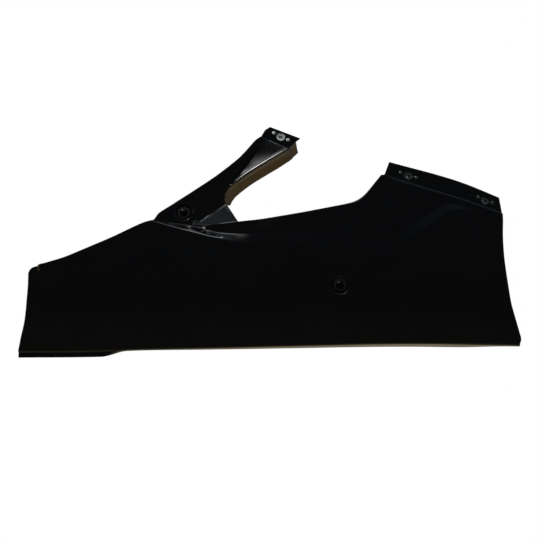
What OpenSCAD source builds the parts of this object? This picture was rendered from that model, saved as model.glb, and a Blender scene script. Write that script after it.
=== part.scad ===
// Motorcycle belly pan, left-hand half: a thin moulded shell with an air vent,
// an upright strut, joggled flanges with quarter-turn receptacles behind them
// and two rubber-mounted screw seats.
// The origin is the side screw hole at the outer face. The wheel-arch end is
// at -X, the inner side of the motorcycle at +Y and +Z is up.

/* [Shell] */
// Wall of the moulding
wall = 3; // [2.4:0.1:3.6]
// Depth of the rolled lip along the bottom, at its widest
lip_w = 44; // [30:1:56]
// Depth of the return wall under the strut
return_w = 46; // [25:1:56]
// How far the area above the ledge lies inboard of the lower face, at the strut
ramp_depth = 12.5; // [9:0.5:14]
// How far the facet at the strut's head is scooped out
facet_depth = 5; // [2:0.25:6]
// Depth of the pocket beside the gusset
pocket_depth = 9; // [6:0.5:10]
// Step from the face back to the flanges
joggle = 4; // [3:0.25:5]
// Height of the front tab below the face
tab_h = 9; // [5:0.5:12]

/* [Fasteners] */
// Hole in the flange in front of a receptacle
stud_hole_d = 14.4; // [13:0.2:15.4]
// Distance between the two rivets of a receptacle
rivet_pitch = 25.4; // [24:0.1:27]
// Rivet shank
rivet_d = 3.2; // [2.8:0.1:3.6]
// Rivet head
rivet_head_d = 5.8; // [5:0.1:6.6]
// Sheet of the receptacle
plate_t = 1.2; // [0.8:0.1:1.6]
// Depth of the receptacle's cup
cup_h = 8; // [6:0.5:10]
// Wire of the receptacle's cross spring
wire_d = 1.8; // [1.4:0.1:2.2]

/* [Screw seats] */
// Dimple around a screw hole
dimple_d = 30; // [26:0.5:32]
// Dimple around the screw hole at the strut's root
root_dimple_d = 26; // [23:0.5:28]
// Depth of the dimples
dimple_h = 3.5; // [2.5:0.25:4.5]
// Hole in the shell that holds a grommet
seat_bore_d = 15; // [13:0.25:17]
// Grommet flange
grommet_d = 20; // [19:0.25:22]
// Outside of the sleeve in the grommet
sleeve_d = 9; // [8.5:0.1:10]
// Head of the sleeve
sleeve_head_d = 13; // [12:0.1:14]
// Screw hole in the sleeve
screw_d = 6.4; // [5.4:0.1:7]

/* [Hidden] */

fit_gap = 0.1;           // clearance between pieces that are fitted together
seat_floor_t = 3;        // wall left under a dimple
boss_wall = 2.5;         // how far the back of a dimple stands out around it
grommet_lip = 1.5;       // thickness of a grommet flange
sleeve_lip = 1.2;        // thickness of the sleeve head
rivet_lug_r = 4.8;
seat_clear = 10;         // how far the seat's hole is cut on behind the boss
cup_d = 16;
cup_t = 1.1;
stud_d = 5.6;            // hole for the stud in the receptacle
slot_w = 1.8;            // notches for the stud's cross pin
slot_l = 9;
plate_z = wall + fit_gap;             // receptacle plate, from the flange's outer face
wire_z = plate_z + plate_t + 2.6;     // cross spring
head_h = 1.5;
tail_d = 5;
tail_h = 1.1;

// Plan and cross-section of the outer face. A bend is flat up to a, turns
// evenly from a to b, and then runs straight at its slope.
function bend(v, a, b, slope) = v < a ? 0
    : v < b ? slope * (v - a) * (v - a) / (2 * (b - a))
    : slope * ((b - a) / 2 + v - b);
nose_slope = 0.10;
mid_slope = 0.08;
tail_slope = 0.22;
top_slope = 0.08;
low_slope = 0.20;
mid_bend = [20, 80];
tail_bend = [126, 195];
nose_bend = [300, 400];
function plan(x) = bend(x, mid_bend[0], mid_bend[1], mid_slope)
    + bend(x, tail_bend[0], tail_bend[1], tail_slope)
    + bend(-x, nose_bend[0], nose_bend[1], nose_slope);
function section(z) = bend(-z, -30, 110, low_slope) + bend(z, 20, 104, top_slope);
// The head of the sleeve in the side seat lies at the origin
seat_top = dimple_h - grommet_lip - sleeve_lip;
function face_y(x, z) = plan(x) + section(z) - plan(0) - section(0) - seat_top;

// Smooth curve through hand-set points [t, value], a value may be a vector
function span_of(c, t, k = 0) = k >= len(c) - 2 || t < c[k + 1][0] ? k : span_of(c, t, k + 1);
function tangent(c, k) = let(a = max(k - 1, 0), b = min(k + 1, len(c) - 1))
    (c[b][1] - c[a][1]) / (c[b][0] - c[a][0]);
function curve(c, t) = let(
        k = span_of(c, t),
        h = c[k + 1][0] - c[k][0],
        s = min(max((t - c[k][0]) / h, 0), 1))
    c[k][1] * (2 * s * s * s - 3 * s * s + 1)
    + tangent(c, k) * h * (s * s * s - 2 * s * s + s)
    + c[k + 1][1] * (3 * s * s - 2 * s * s * s)
    + tangent(c, k + 1) * h * (s * s * s - s * s);
function mix(a, b, s) = a + (b - a) * s;
function ease(a, b, v) = let(s = min(max((v - a) / (b - a), 0), 1)) s * s * (3 - 2 * s);

// Edges of the shell seen from the side, [height, x] for the ends and
// [x, height] for the lines along the length
front_edge = [[-110, -490], [-96, -487], [-78, -483.5], [-51, -478], [-15, -475.4],
    [4, -474.6], [22, -475]];
rear_edge = [[-90, 270], [-86, 276.5], [-82, 280.5], [-76, 282.6], [-64, 279.5], [-37, 271.6], [-19, 267],
    [9, 263.2], [28, 261], [56, 259], [86, 259.2], [121, 261.5], [150, 259]];
arch_line = [[-475, 20], [-473.4, 27], [-468, 31], [-445, 37.2], [-420, 44.5], [-396, 54],
    [-347, 75], [-311, 92.8], [-299, 98.2], [-290, 101]];
ledge_line = [[-290, 101], [-259, 91], [-228, 81.5], [-197, 73.5], [-152, 64], [-127, 61],
    [-72, 62], [-30, 57.5], [31, 47.6], [60, 44], [78, 47], [92, 54.6], [118, 76], [144, 98],
    [162, 113], [185, 123], [224, 117], [263, 106]];
shoulder_line = [[-287, 102.2], [-255, 99.5], [-223, 95], [-213, 92.5], [-198, 87.5], [-183, 83.5], [-152, 82],
    [-112, 86.5], [-29, 84.3], [32, 78], [58, 76.5], [76, 79], [94, 86], [120, 102], [148, 121],
    [165, 131], [185, 132.5], [224, 125], [263, 114]];
bottom_line = [[-490, -97], [-361, -97.3], [-316, -94], [-211, -91.6], [-61, -87.9], [90, -84.5],
    [182, -83.6], [264, -82], [284, -82]];
root_line = [[-284, 104], [-250, 102.3], [-224, 97.5], [-200, 96.5], [-155, 100]];
vent_line = [[-155, 100], [-121, 104.6], [-90, 109.9], [-60, 115.3], [-32, 120.8], [-7, 125.9],
    [10, 129.4], [24, 133.4], [34, 139], [43, 147], [56, 163], [67.5, 177.4]];
parting_step = [[67.5, 177.4], [110, 165], [138, 156], [170, 147], [224, 132.6], [263, 121.8]];
flange_top = [[81.4, 200.5], [108, 193.6], [159, 180.5], [210, 166.4], [258, 150.4]];

// How deep the upper area lies inboard of the lower face, along the length,
// in parts of its depth at the strut
ramp = [[-287, 0.25], [-275, 0.6], [-265, 0.88], [-255, 0.98], [-235, 1], [-214, 1], [-200, 0.86],
    [-183, 0.54], [-165, 0.34], [-148, 0.28], [-112, 0.26], [-60, 0.27], [0, 0.28], [130, 0.28],
    [165, 0.2], [200, 0.05], [218, 0], [264, 0]];
function ramp_y(x) = ramp_depth * curve(ramp, x);

// Left and right edges of the strut, stations up its length
strut_left = [[0, [-284, 104]], [1, [-281.5, 108]], [2, [-277, 115.3]], [4, [-256, 132]],
    [6, [-222, 155.5]], [8, [-187, 179.5]], [10, [-157, 203.5]], [11, [-146, 215]],
    [12, [-137, 226]], [13, [-129, 235.5]], [14, [-121.8, 241]]];
strut_right = [[0, [-155, 100]], [1, [-173, 130.5]], [2, [-176, 136]], [3, [-177, 141]],
    [4, [-175.8, 147]], [5, [-172, 154]], [6, [-165, 162]], [8, [-142, 180]], [10, [-117, 196.5]],
    [12, [-90.5, 213]], [14, [-77.8, 220]]];
strut_rows = 14;
strut_flange = [[[-121.8, 241], [-77.8, 220]], [[-119.6, 244], [-75.5, 224.3]],
    [[-118.6, 246.2], [-74.1, 226.3]], [[-114, 254.5], [-65.5, 234.8]], [[-106, 260], [-58.6, 240.4]]];
strut_flange_y = 9;
strut_head_depth = 4;    // depth of the strut's face at its head

function front_x(z) = curve(front_edge, z);
function rear_x(z) = curve(rear_edge, z);
function share(x, z) = (x - front_x(z)) / (rear_x(z) - front_x(z));

// Columns of the mesh: shares of the way from the front to the rear edge
function steps(a, b, n) = [for (k = [0 : n - 1]) mix(a, b, k / n)];
u_root = share(-290, 101);
u_vent = share(-155, 100);
u_corner = share(67.5, 177.4);
n_nose = 10;
n_root = 14;
n_vent = 18;
n_tail = 14;
cols = concat([0, 0.0035, 0.009], steps(0.02, u_root, n_nose), steps(u_root, u_vent, n_root),
    steps(u_vent, u_corner, n_vent), steps(u_corner, 0.985, n_tail), [0.985, 1]);
c_root = 3 + n_nose;
c_vent = c_root + n_root;
c_corner = c_vent + n_vent;
c_end = len(cols) - 1;

// A point of a body line at column share u, found by repeated substitution
function settle(line, u, x, n = 6) = n == 0 ? [x, curve(line, x)]
    : settle(line, u, let(z = curve(line, x)) mix(front_x(z), rear_x(z), u), n - 1);
function on_line(line, u) = settle(line, u, mix(front_x(0), rear_x(0), u));
function ledge_at(u) = u <= u_root ? on_line(arch_line, u) : on_line(ledge_line, u);
root_fade = share(-210, 90);
function lean(u) = 1 - ease(u_root, root_fade, u);
function shoulder_at(u) = on_line(shoulder_line, u) + [3 * lean(u), 0];
function top_at(u) = u <= u_vent ? let(x = mix(-284, -155, (u - u_root) / (u_vent - u_root)))
        [x, curve(root_line, x)]
    : u <= u_corner ? on_line(vent_line, u)
    : on_line(parting_step, u);

// The bottom: a rolled lip that turns into a plain joggled tab at the front
roll_r = 4;
lip_width = [[-490, 0.36], [-316, 0.40], [-150, 0.72], [0, 0.9], [120, 1], [190, 0.95],
    [250, 0.55], [284, 0.3]];
function tab_share(x) = 1 - ease(-358, -322, x);
function below(u, k) = let(
        p = on_line(bottom_line, u),
        x = p[0],
        z = p[1],
        y = face_y(x, z),
        w = lip_w * curve(lip_width, x),
        lip = k == 0 ? [w, -roll_r + 1.5] : k == 1 ? [w * 0.55, -roll_r - 0.2]
            : k == 2 ? [roll_r + 1, -roll_r] : [roll_r * 0.3, -roll_r * 0.72],
        tab = k == 0 ? [3.6, -tab_h - 1] : k == 1 ? [3.4, -tab_h * 0.7] : k == 2 ? [3.2, -tab_h * 0.35]
            : [1.8, -1.2],
        m = mix(lip, tab, tab_share(x)))
    [x, y + m[0], z + m[1]];

// Rows of the body between the bottom and the ledge, and above it
face_rows = [0, 0.05, 0.14, 0.26, 0.38, 0.5, 0.65, 0.82, 1];
n_low = 4;
j_ledge = n_low + len(face_rows) - 1;
ledge_rows = [0.3, 0.7, 1];
j_shoulder = j_ledge + len(ledge_rows);
ramp_rows = [0.35, 1];
j_top = j_shoulder + len(ramp_rows);
vent_drop = 2.5;         // extra depth at the vent's own edge
function face_point(x, z, depth = 0) = [x, face_y(x, z) + depth, z];
function face_row(u, f) = let(
        b = on_line(bottom_line, u),
        t = ledge_at(u),
        waist = min(18, t[1] - 12),
        z = f < 0.5 ? mix(b[1], waist, f * 2) : mix(waist, t[1], f * 2 - 1),
        x = mix(front_x(z), rear_x(z), u) + (u < 0.02 ? mix(0, t[0] - front_x(t[1]), f * f * f) : 0))
    face_point(x, z);
function ledge_row(u, f) = let(a = ledge_at(u), b = shoulder_at(u), p = mix(a, b, f))
    face_point(p[0], p[1], ramp_y(b[0]) * ease(-0.15, 1.1, f));
function top_depth(u, x) = ramp_y(x) + (u > u_vent && u < u_corner
    ? vent_drop * ease(u_vent, u_vent + 0.05, u) * (1 - ease(u_corner - 0.08, u_corner, u)) : 0);
function ramp_row(u, f) = let(a = shoulder_at(u), b = top_at(u), p = mix(a, b, f))
    face_point(p[0], p[1], mix(ramp_y(a[0]), top_depth(u, b[0]), f));

// Strut: straight rows between its edges, bent at its foot to the gusset line
gusset_line = [[0, [-281.5, 108]], [0.30, [-243, 103.5]], [0.45, [-223, 99.5]], [0.7, [-200, 111.5]],
    [1, [-173, 130.5]]];
// The facet at the strut's head starts at a crease, which leaves the edge
// beside the vent at crease_start and reaches the left edge at the head
crease_start = 6;
crease_across = [[6, 0.9], [8, 0.72], [10, 0.42], [12, 0.23], [14, 0.1]];
crease_column = 4 / 14;  // share of the strut's columns left of the crease
function crease_at(t) = mix(crease_column, curve(crease_across, max(t, crease_start)), ease(1.5, crease_start, t));
function spread(t, k) = let(c = crease_at(t))
    k < crease_column ? mix(0, c, k / crease_column) : mix(c, 1, (k - crease_column) / (1 - crease_column));
function facet(t, s) = t <= crease_start ? 0 : let(
        c = crease_at(t),
        a = max((s - c) / (1 - c), 0),
        size = pow((t - crease_start) / (strut_rows - crease_start), 0.7))
    facet_depth * size * ease(0, 0.1, a) * (a < 0.93 ? 1 - pow(a / 0.93, mix(1.6, 5, size)) : 0);
gusset_share = 0.5;      // how much of the pocket's depth its edge on the gusset has
// The pocket lies above the gusset's upper edge: l runs along that edge, d away from it
gusset_tip = [-223, 96.5];
gusset_dir = [0.825, 0.565];
pocket_edge = [[-10, 12], [2, 14.5], [11, 19], [25, 23.5], [40, 24.5], [70, 27]];
function pocket(p) = let(
        q = p - gusset_tip,
        l = q * gusset_dir,
        d = q * [-gusset_dir[1], gusset_dir[0]],
        r = d / curve(pocket_edge, l))
    pocket_depth * mix(gusset_share, 1, ease(0, 2.5, d)) * (1 - ease(0.1, 1.05, max(r, 0))) * ease(-3, 12, l);
function strut_base(p) = let(along = (p[0] + 240) * 0.75 + (p[1] - 117.5) * 0.66)
    mix(ramp_depth, strut_head_depth, ease(25, 140, along)) * ease(-300, -256, p[0]);
function strut_flat(t, s) = mix(curve(strut_left, t), curve(strut_right, t), s);
function strut_point(t, s) = let(
        foot = curve(gusset_line, s) - strut_flat(1, s),
        p = strut_flat(t, s) + foot * pow(max(0, 1 - (t - 1) / 6), 2))
    face_point(p[0], p[1], strut_base(p) + facet(t, s) + pocket(p));
function strut_flange_point(k, s) = let(p = mix(strut_flange[k][0], strut_flange[k][1], s))
    face_point(p[0], p[1], strut_flange_y);

// Return wall: turns in from the strut's edge beside the vent
return_out = [0, 0.5, 1.8, 4, 7.5];
return_in = [0, 0.035, 0.14, 0.55, 1];
function return_point(t, k) = let(
        e = strut_point(t, 1),
        a = curve(strut_right, max(t - 0.5, 1)),
        b = curve(strut_right, min(t + 0.5, strut_rows)),
        d = (b - a) / norm(b - a),
        w = return_w * ease(0.2, 4, t) * mix(1, 0.85, ease(11, 14, t)))
    e + [d[1] * return_out[k] * ease(0, 4, t), w * return_in[k], -d[0] * return_out[k] * ease(0, 4, t)];
n_return = len(return_out) - 1;
n_head_return = 3;       // rows of the head's flange that the return wall goes on beside
function head_return_point(row, k) = let(
        run = strut_flange[row + 1][1] - strut_flange[row - 1][1],
        d = run / norm(run))
    strut_flange_point(row, 1)
        + [d[1] * return_out[k], return_w * 0.85 * return_in[k], -d[0] * return_out[k]];

// Rear flange above the step
flange_rows = [0.09, 0.155, 0.55, 1];
function rear_flange_depth(x) = joggle + ramp_depth * 0.28 * (1 - ease(130, 212, x));
function flange_point(u, f) = let(
        a = top_at(u),
        s = (u - u_corner) / (1 - u_corner),
        b = let(x = mix(81.4, 258, s)) [x, curve(flange_top, x)],
        inset = 5 * (1 - ease(0, 0.12, s)) * (1 - f),
        p = mix(a, b, f) + [inset, 0])
    face_point(p[0], p[1], rear_flange_depth(p[0]));

// The sheet as rows of points; a missing point is undef
strut_step = 0.5;
strut_levels = strut_rows / strut_step;
j_end = j_top + strut_levels + 4;
function sheet_point(i, j) = let(u = cols[min(i, c_end)])
    j < n_low ? below(u, j)
    : j <= j_ledge ? face_row(u, face_rows[j - n_low])
    : j <= j_shoulder ? (i < c_root ? undef : ledge_row(u, ledge_rows[j - j_ledge - 1]))
    : j <= j_top ? (i < c_root ? undef : ramp_row(u, ramp_rows[j - j_shoulder - 1]))
    : i >= c_root && i <= c_vent ? let(s = (i - c_root) / (c_vent - c_root), t = j - j_top)
        (t * strut_step < 1 ? mix(ramp_row(u, 1), strut_point(1, spread(1, s)), t * strut_step)
            : t <= strut_levels ? strut_point(t * strut_step, spread(t * strut_step, s))
            : strut_flange_point(t - strut_levels, spread(strut_rows, s)))
    : i > c_vent && i <= c_vent + n_return && j - j_top <= strut_levels + n_head_return
        ? (j - j_top <= strut_levels ? return_point((j - j_top) * strut_step, i - c_vent)
            : head_return_point(j - j_top - strut_levels, i - c_vent))
    : i >= c_corner && j - j_top <= len(flange_rows) ? flange_point(u, flange_rows[j - j_top - 1])
    : undef;
// Whether the square between columns i, i + 1 and rows j, j + 1 is there
function here(i, j) = i >= 0 && j >= 0 && i < c_end && j < j_end
    && (j < j_ledge ? true
    : j < j_top ? i >= c_root
    : i >= c_root && i < c_vent ? j - j_top < strut_levels + 4
    : i >= c_vent && i < c_vent + n_return ? j - j_top >= 1 / strut_step
        && j - j_top < strut_levels + n_head_return
    : i >= c_corner && j - j_top < len(flange_rows));
cells = [for (j = [0 : j_end - 1]) [for (i = [0 : c_end - 1]) here(i, j)]];
function cell(i, j) = i >= 0 && j >= 0 && i < c_end && j < j_end && cells[j][i];
outer = [for (j = [0 : j_end]) [for (i = [0 : c_end]) sheet_point(i, j)]];

// Unit normal of one square, zero where there is none, pointing inboard
function square_normal(i, j) = !cell(i, j) ? [0, 0, 0]
    : let(n = cross(outer[j + 1][i] - outer[j][i + 1], outer[j + 1][i + 1] - outer[j][i]))
    norm(n) < 0.0001 ? [0, 0, 0] : n / norm(n);
squares = [for (j = [0 : j_end - 1]) [for (i = [0 : c_end - 1]) square_normal(i, j)]];
function square_at(i, j) = cell(i, j) ? squares[j][i] : [0, 0, 0];
function used(i, j) = cell(i, j) || cell(i - 1, j) || cell(i, j - 1) || cell(i - 1, j - 1);
function inner_point(i, j) = !used(i, j) ? undef : let(
        n = square_at(i, j) + square_at(i - 1, j) + square_at(i, j - 1) + square_at(i - 1, j - 1),
        m = n / norm(n),
        around = [for (q = [square_at(i, j), square_at(i - 1, j), square_at(i, j - 1),
            square_at(i - 1, j - 1)]) if (norm(q) > 0.5) q * m])
    outer[j][i] + m * wall / max(min(around), 0.75);
inner = [for (j = [0 : j_end]) [for (i = [0 : c_end]) inner_point(i, j)]];

n_row = c_end + 1;
n_side = n_row * (j_end + 1);
function o(i, j) = j * n_row + i;
function b(i, j) = n_side + o(i, j);
sheet_points = concat(
    [for (j = [0 : j_end]) for (i = [0 : c_end]) used(i, j) ? outer[j][i] : [0, 0, 0]],
    [for (j = [0 : j_end]) for (i = [0 : c_end]) used(i, j) ? inner[j][i] : [0, 0, 0]]);
sheet_faces = [for (j = [0 : j_end - 1]) for (i = [0 : c_end - 1]) if (cell(i, j)) each concat(
    [[o(i, j), o(i, j + 1), o(i + 1, j + 1)], [o(i, j), o(i + 1, j + 1), o(i + 1, j)],
        [b(i, j), b(i + 1, j + 1), b(i, j + 1)], [b(i, j), b(i + 1, j), b(i + 1, j + 1)]],
    cell(i, j - 1) ? [] : [[o(i, j), o(i + 1, j), b(i + 1, j)], [o(i, j), b(i + 1, j), b(i, j)]],
    cell(i, j + 1) ? [] : [[o(i, j + 1), b(i + 1, j + 1), o(i + 1, j + 1)], [o(i, j + 1), b(i, j + 1), b(i + 1, j + 1)]],
    cell(i - 1, j) ? [] : [[o(i, j), b(i, j + 1), o(i, j + 1)], [o(i, j), b(i, j), b(i, j + 1)]],
    cell(i + 1, j) ? [] : [[o(i + 1, j), o(i + 1, j + 1), b(i + 1, j + 1)], [o(i + 1, j), b(i + 1, j + 1), b(i + 1, j)]])];

module shell() {
    polyhedron(points = sheet_points, faces = sheet_faces, convexity = 12);
}

// A place on the shell: local Z points inboard along the sheet's normal and
// local X runs along the row of rivets
function slope_x(x) = (plan(x + 1) - plan(x - 1)) / 2;
function slope_z(z) = (section(z + 1) - section(z - 1)) / 2;
module at_face(x, z, depth, turn = 0) {
    nx = -slope_x(x);
    nz = -slope_z(z);
    n = [nx, 1, nz] / norm([nx, 1, nz]);
    u = cross([0, 0, 1], n) / norm(cross([0, 0, 1], n)) * -1;
    v = cross(n, u);
    y = face_y(x, z) + depth;
    multmatrix([[u[0], v[0], n[0], x], [u[1], v[1], n[1], y], [u[2], v[2], n[2], z]])
        rotate([0, 0, turn]) children();
}

root_seat = [-239.9, 117.5];
strut_stud = [-88.9, 243.6];
front_stud = [110.8, 179];
rear_stud = [234, 144.3];
strut_turn = 28;
front_turn = 18;
rear_turn = 17;
module at_side() {
    translate([0, -seat_top, 0]) rotate([-90, 0, 0]) children();
}
module at_root() { at_face(root_seat[0], root_seat[1], strut_base(root_seat)) children(); }
module at_strut() { at_face(strut_stud[0], strut_stud[1], strut_flange_y, strut_turn) children(); }
module at_front() {
    at_face(front_stud[0], front_stud[1], rear_flange_depth(front_stud[0]), front_turn) children();
}
module at_rear() {
    at_face(rear_stud[0], rear_stud[1], rear_flange_depth(rear_stud[0]), rear_turn) children();
}

module round_hole(d, from, to) {
    translate([0, 0, from]) cylinder(h = to - from, d = d, $fn = 48);
}
module stud_holes() {
    round_hole(stud_hole_d, -2 * wall, 3 * wall);
    for (side = [-1, 1]) translate([side * rivet_pitch / 2, 0, 0])
        round_hole(rivet_d + fit_gap, -2 * wall, 3 * wall);
}
// Back of a dimple, and the dimple with its hole
module seat_back(d) {
    translate([0, 0, wall * 0.5])
        cylinder(h = dimple_h + seat_floor_t - wall * 0.5, d1 = d + 2 * boss_wall, d2 = d + boss_wall, $fn = 64);
}
module seat_cut(d) {
    translate([0, 0, -1]) cylinder(h = dimple_h + 1, d1 = d + 2, d2 = grommet_d + 1.5, $fn = 64);
    round_hole(seat_bore_d, -1, dimple_h + seat_floor_t + seat_clear);
}

module panel() {
    color("#0b0b0c") difference() {
        union() {
            shell();
            at_side() seat_back(dimple_d);
            at_root() seat_back(root_dimple_d);
        }
        at_side() seat_cut(dimple_d);
        at_root() seat_cut(root_dimple_d);
        at_strut() stud_holes();
        at_front() stud_holes();
        at_rear() stud_holes();
    }
}

// Pressed receptacle behind a flange: plate with two rivet lugs and a cup
module receptacle() {
    color("#8f9a95") difference() {
        union() {
            translate([0, 0, plate_z]) linear_extrude(plate_t) difference() {
                hull() {
                    for (side = [-1, 1]) translate([side * rivet_pitch / 2, 0]) circle(r = rivet_lug_r, $fn = 32);
                    circle(d = cup_d + 2, $fn = 48);
                }
                for (side = [-1, 1]) translate([side * rivet_pitch / 2, 0]) circle(d = rivet_d + fit_gap, $fn = 32);
            }
            translate([0, 0, plate_z]) cylinder(h = cup_h, d = cup_d, $fn = 48);
        }
        translate([0, 0, plate_z + plate_t])
            cylinder(h = cup_h - cup_t - plate_t, d = cup_d - 2 * cup_t, $fn = 48);
        round_hole(stud_d, plate_z - 1, plate_z + plate_t + 1);
        translate([0, 0, plate_z + plate_t / 2]) cube([slot_l, slot_w, plate_t + 2], center = true);
        translate([0, 0, wire_z]) rotate([90, 0, 0])
            cylinder(h = cup_d + 2, d = wire_d + fit_gap, center = true, $fn = 24);
    }
}
// Cross spring: a straight wire through the cup's side walls
module cross_spring() {
    color("#b9bcbc") translate([0, 0, wire_z]) rotate([90, 0, 0])
        cylinder(h = cup_d + 1.6, d = wire_d, center = true, $fn = 24);
}
module rivet_pair() {
    color("#7d8382") for (side = [-1, 1]) translate([side * rivet_pitch / 2, 0, 0]) rivet();
}
// Dome-head rivet: head on the outer face, formed tail behind the plate
module rivet() {
    grip = plate_z + plate_t;
    rotate_extrude($fn = 36) polygon(concat([[0, -head_h]],
        [for (a = [80 : -16 : 0]) [rivet_head_d / 2 * cos(a), -head_h * sin(a)]],
        [[rivet_d / 2, 0], [rivet_d / 2, grip], [tail_d / 2, grip],
            [tail_d / 2 - 0.3, grip + tail_h], [0, grip + tail_h]]));
}

// Rubber grommet: two flanges with the shell's seat floor between them
module grommet() {
    g = dimple_h;
    color("#1c1c1c") difference() {
        union() {
            translate([0, 0, g - grommet_lip]) cylinder(h = grommet_lip, d = grommet_d, $fn = 48);
            translate([0, 0, g - 0.5]) cylinder(h = seat_floor_t + 1, d = seat_bore_d - fit_gap, $fn = 48);
            translate([0, 0, g + seat_floor_t]) cylinder(h = grommet_lip, d = grommet_d, $fn = 48);
        }
        round_hole(sleeve_d + fit_gap, -1, dimple_h + seat_floor_t + 8);
    }
}
// Steel sleeve with a head that limits how far the screw squeezes the rubber
module sleeve() {
    top = dimple_h - grommet_lip;
    length = 2 * grommet_lip + seat_floor_t;
    color("#9aa0a0") difference() {
        union() {
            translate([0, 0, top - sleeve_lip]) cylinder(h = sleeve_lip, d = sleeve_head_d, $fn = 48);
            translate([0, 0, top - sleeve_lip]) cylinder(h = length + sleeve_lip, d = sleeve_d, $fn = 40);
        }
        round_hole(screw_d, top - sleeve_lip - 1, top + length + 1);
    }
}

module strut_receptacle() { at_strut() receptacle(); }
module strut_spring() { at_strut() cross_spring(); }
module strut_rivets() { at_strut() rivet_pair(); }
module front_receptacle() { at_front() receptacle(); }
module front_spring() { at_front() cross_spring(); }
module front_rivets() { at_front() rivet_pair(); }
module rear_receptacle() { at_rear() receptacle(); }
module rear_spring() { at_rear() cross_spring(); }
module rear_rivets() { at_rear() rivet_pair(); }
module side_grommet() { at_side() grommet(); }
module side_sleeve() { at_side() sleeve(); }
module root_grommet() { at_root() grommet(); }
module root_sleeve() { at_root() sleeve(); }

panel();
strut_receptacle();
strut_spring();
strut_rivets();
front_receptacle();
front_spring();
front_rivets();
rear_receptacle();
rear_spring();
rear_rivets();
side_grommet();
side_sleeve();
root_grommet();
root_sleeve();
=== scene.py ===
# %% [markdown]
# # Motorcycle belly pan, left-hand half
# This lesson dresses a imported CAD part. The real object is a thin moulded
# plastic shell with black gloss lacquer on its outer face. A large air vent is
# open below an upright strut, two joggled flanges carry three quarter-turn
# receptacles, and two dimples carry rubber grommets with steel sleeves.
# The CAD model is loaded first and stays where it is. Each finished piece is
# modelled at the same place, in metres, and then stands for its CAD node.

import math

import bpy
import numpy as np
from mathutils import Matrix, Vector


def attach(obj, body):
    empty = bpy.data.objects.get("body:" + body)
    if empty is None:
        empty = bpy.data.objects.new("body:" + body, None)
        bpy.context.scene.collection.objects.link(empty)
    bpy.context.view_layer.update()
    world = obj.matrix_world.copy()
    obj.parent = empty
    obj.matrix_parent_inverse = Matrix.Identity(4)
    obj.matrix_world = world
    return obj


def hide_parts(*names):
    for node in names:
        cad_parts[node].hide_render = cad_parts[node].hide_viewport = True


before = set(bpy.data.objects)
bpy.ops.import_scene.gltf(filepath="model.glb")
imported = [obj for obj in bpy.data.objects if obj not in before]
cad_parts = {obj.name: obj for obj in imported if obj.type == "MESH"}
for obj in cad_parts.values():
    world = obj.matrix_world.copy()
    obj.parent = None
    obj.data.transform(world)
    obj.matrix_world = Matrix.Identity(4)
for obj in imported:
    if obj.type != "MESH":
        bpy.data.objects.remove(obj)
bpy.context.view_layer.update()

# %% [markdown]
# ## Small helpers
# The lesson selects things in code, because there is no mouse. `add_node`
# puts one shader node in a tree with its settings and links, and `linear`
# turns a hex colour, as a paint chart gives it, into the light values that
# Blender mixes. `settle` and `smooth` end the making of most pieces.

# %% Helpers
MM = 0.001


def linear(hex_colour):
    """A hex sRGB colour as linear red, green, blue and alpha."""
    channels = [int(hex_colour[k : k + 2], 16) / 255 for k in (1, 3, 5)]
    light = [c / 12.92 if c <= 0.04045 else ((c + 0.055) / 1.055) ** 2.4 for c in channels]
    return (*light, 1.0)


def add_node(tree, kind, settings=None, inputs=None):
    """Adds one node. A value in inputs is set on its socket, and a socket is linked to it."""
    node = tree.nodes.new(kind)
    for name, value in (settings or {}).items():
        setattr(node, name, value)
    for name, value in (inputs or {}).items():
        if isinstance(value, bpy.types.NodeSocket):
            tree.links.new(value, node.inputs[name])
        else:
            node.inputs[name].default_value = value
    return node


def only(obj):
    """Selects one object and makes it the active one."""
    bpy.ops.object.select_all(action="DESELECT")
    obj.select_set(True)
    bpy.context.view_layer.objects.active = obj
    return obj


def select_faces(obj, wanted):
    """Opens edit mode with just the faces selected for which wanted(face) is true."""
    only(obj)
    bpy.ops.object.mode_set(mode="EDIT")
    bpy.ops.mesh.select_mode(type="FACE")
    bpy.ops.mesh.select_all(action="DESELECT")
    bpy.ops.object.mode_set(mode="OBJECT")
    for face in obj.data.polygons:
        face.select = bool(wanted(face))
    bpy.ops.object.mode_set(mode="EDIT")


def apply_modifier(obj, kind, **settings):
    """Adds a modifier with its settings and applies it."""
    only(obj)
    modifier = obj.modifiers.new(kind.title(), kind)
    for name, value in settings.items():
        setattr(modifier, name, value)
    bpy.ops.object.modifier_apply(modifier=modifier.name)


def soften(obj, width, segments, degrees):
    """Bevels the edges that turn by more than an angle. The width is in millimetres."""
    apply_modifier(obj, "BEVEL", width=width * MM, segments=segments, limit_method="ANGLE",
        angle_limit=math.radians(degrees))


def smooth(obj, degrees):
    """Shades a piece smooth, except over edges that turn by more than an angle."""
    only(obj)
    bpy.ops.object.shade_smooth_by_angle(angle=math.radians(degrees))


def settle():
    """Puts the active object's place, turn and size in its mesh, and returns the object."""
    bpy.ops.object.transform_apply(location=True, rotation=True, scale=True)
    return bpy.context.active_object


def report(obj):
    """Prints how many triangles a finished piece has."""
    obj.data.calc_loop_triangles()
    print(obj.name, len(obj.data.loop_triangles), "triangles")


# %% [markdown]
# ## Curves and bends
# The shell is drawn the way a pattern maker draws it: a few lines along its
# length, a plan view that is flat in the middle and bends in at both ends, and
# a cross-section that bends in above and below. A smooth curve runs through
# given points. These are the same lines that the CAD part uses, in
# millimetres, so the fine sheet lies where the solid lies.


# %% Curve tools
def bend(v, a, b, slope):
    """Flat up to a, turning evenly from a to b, then straight at its slope."""
    if v < a:
        return 0.0
    if v < b:
        return slope * (v - a) ** 2 / (2 * (b - a))
    return slope * ((b - a) / 2 + v - b)


def mix(a, b, s):
    return a + (b - a) * s


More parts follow.
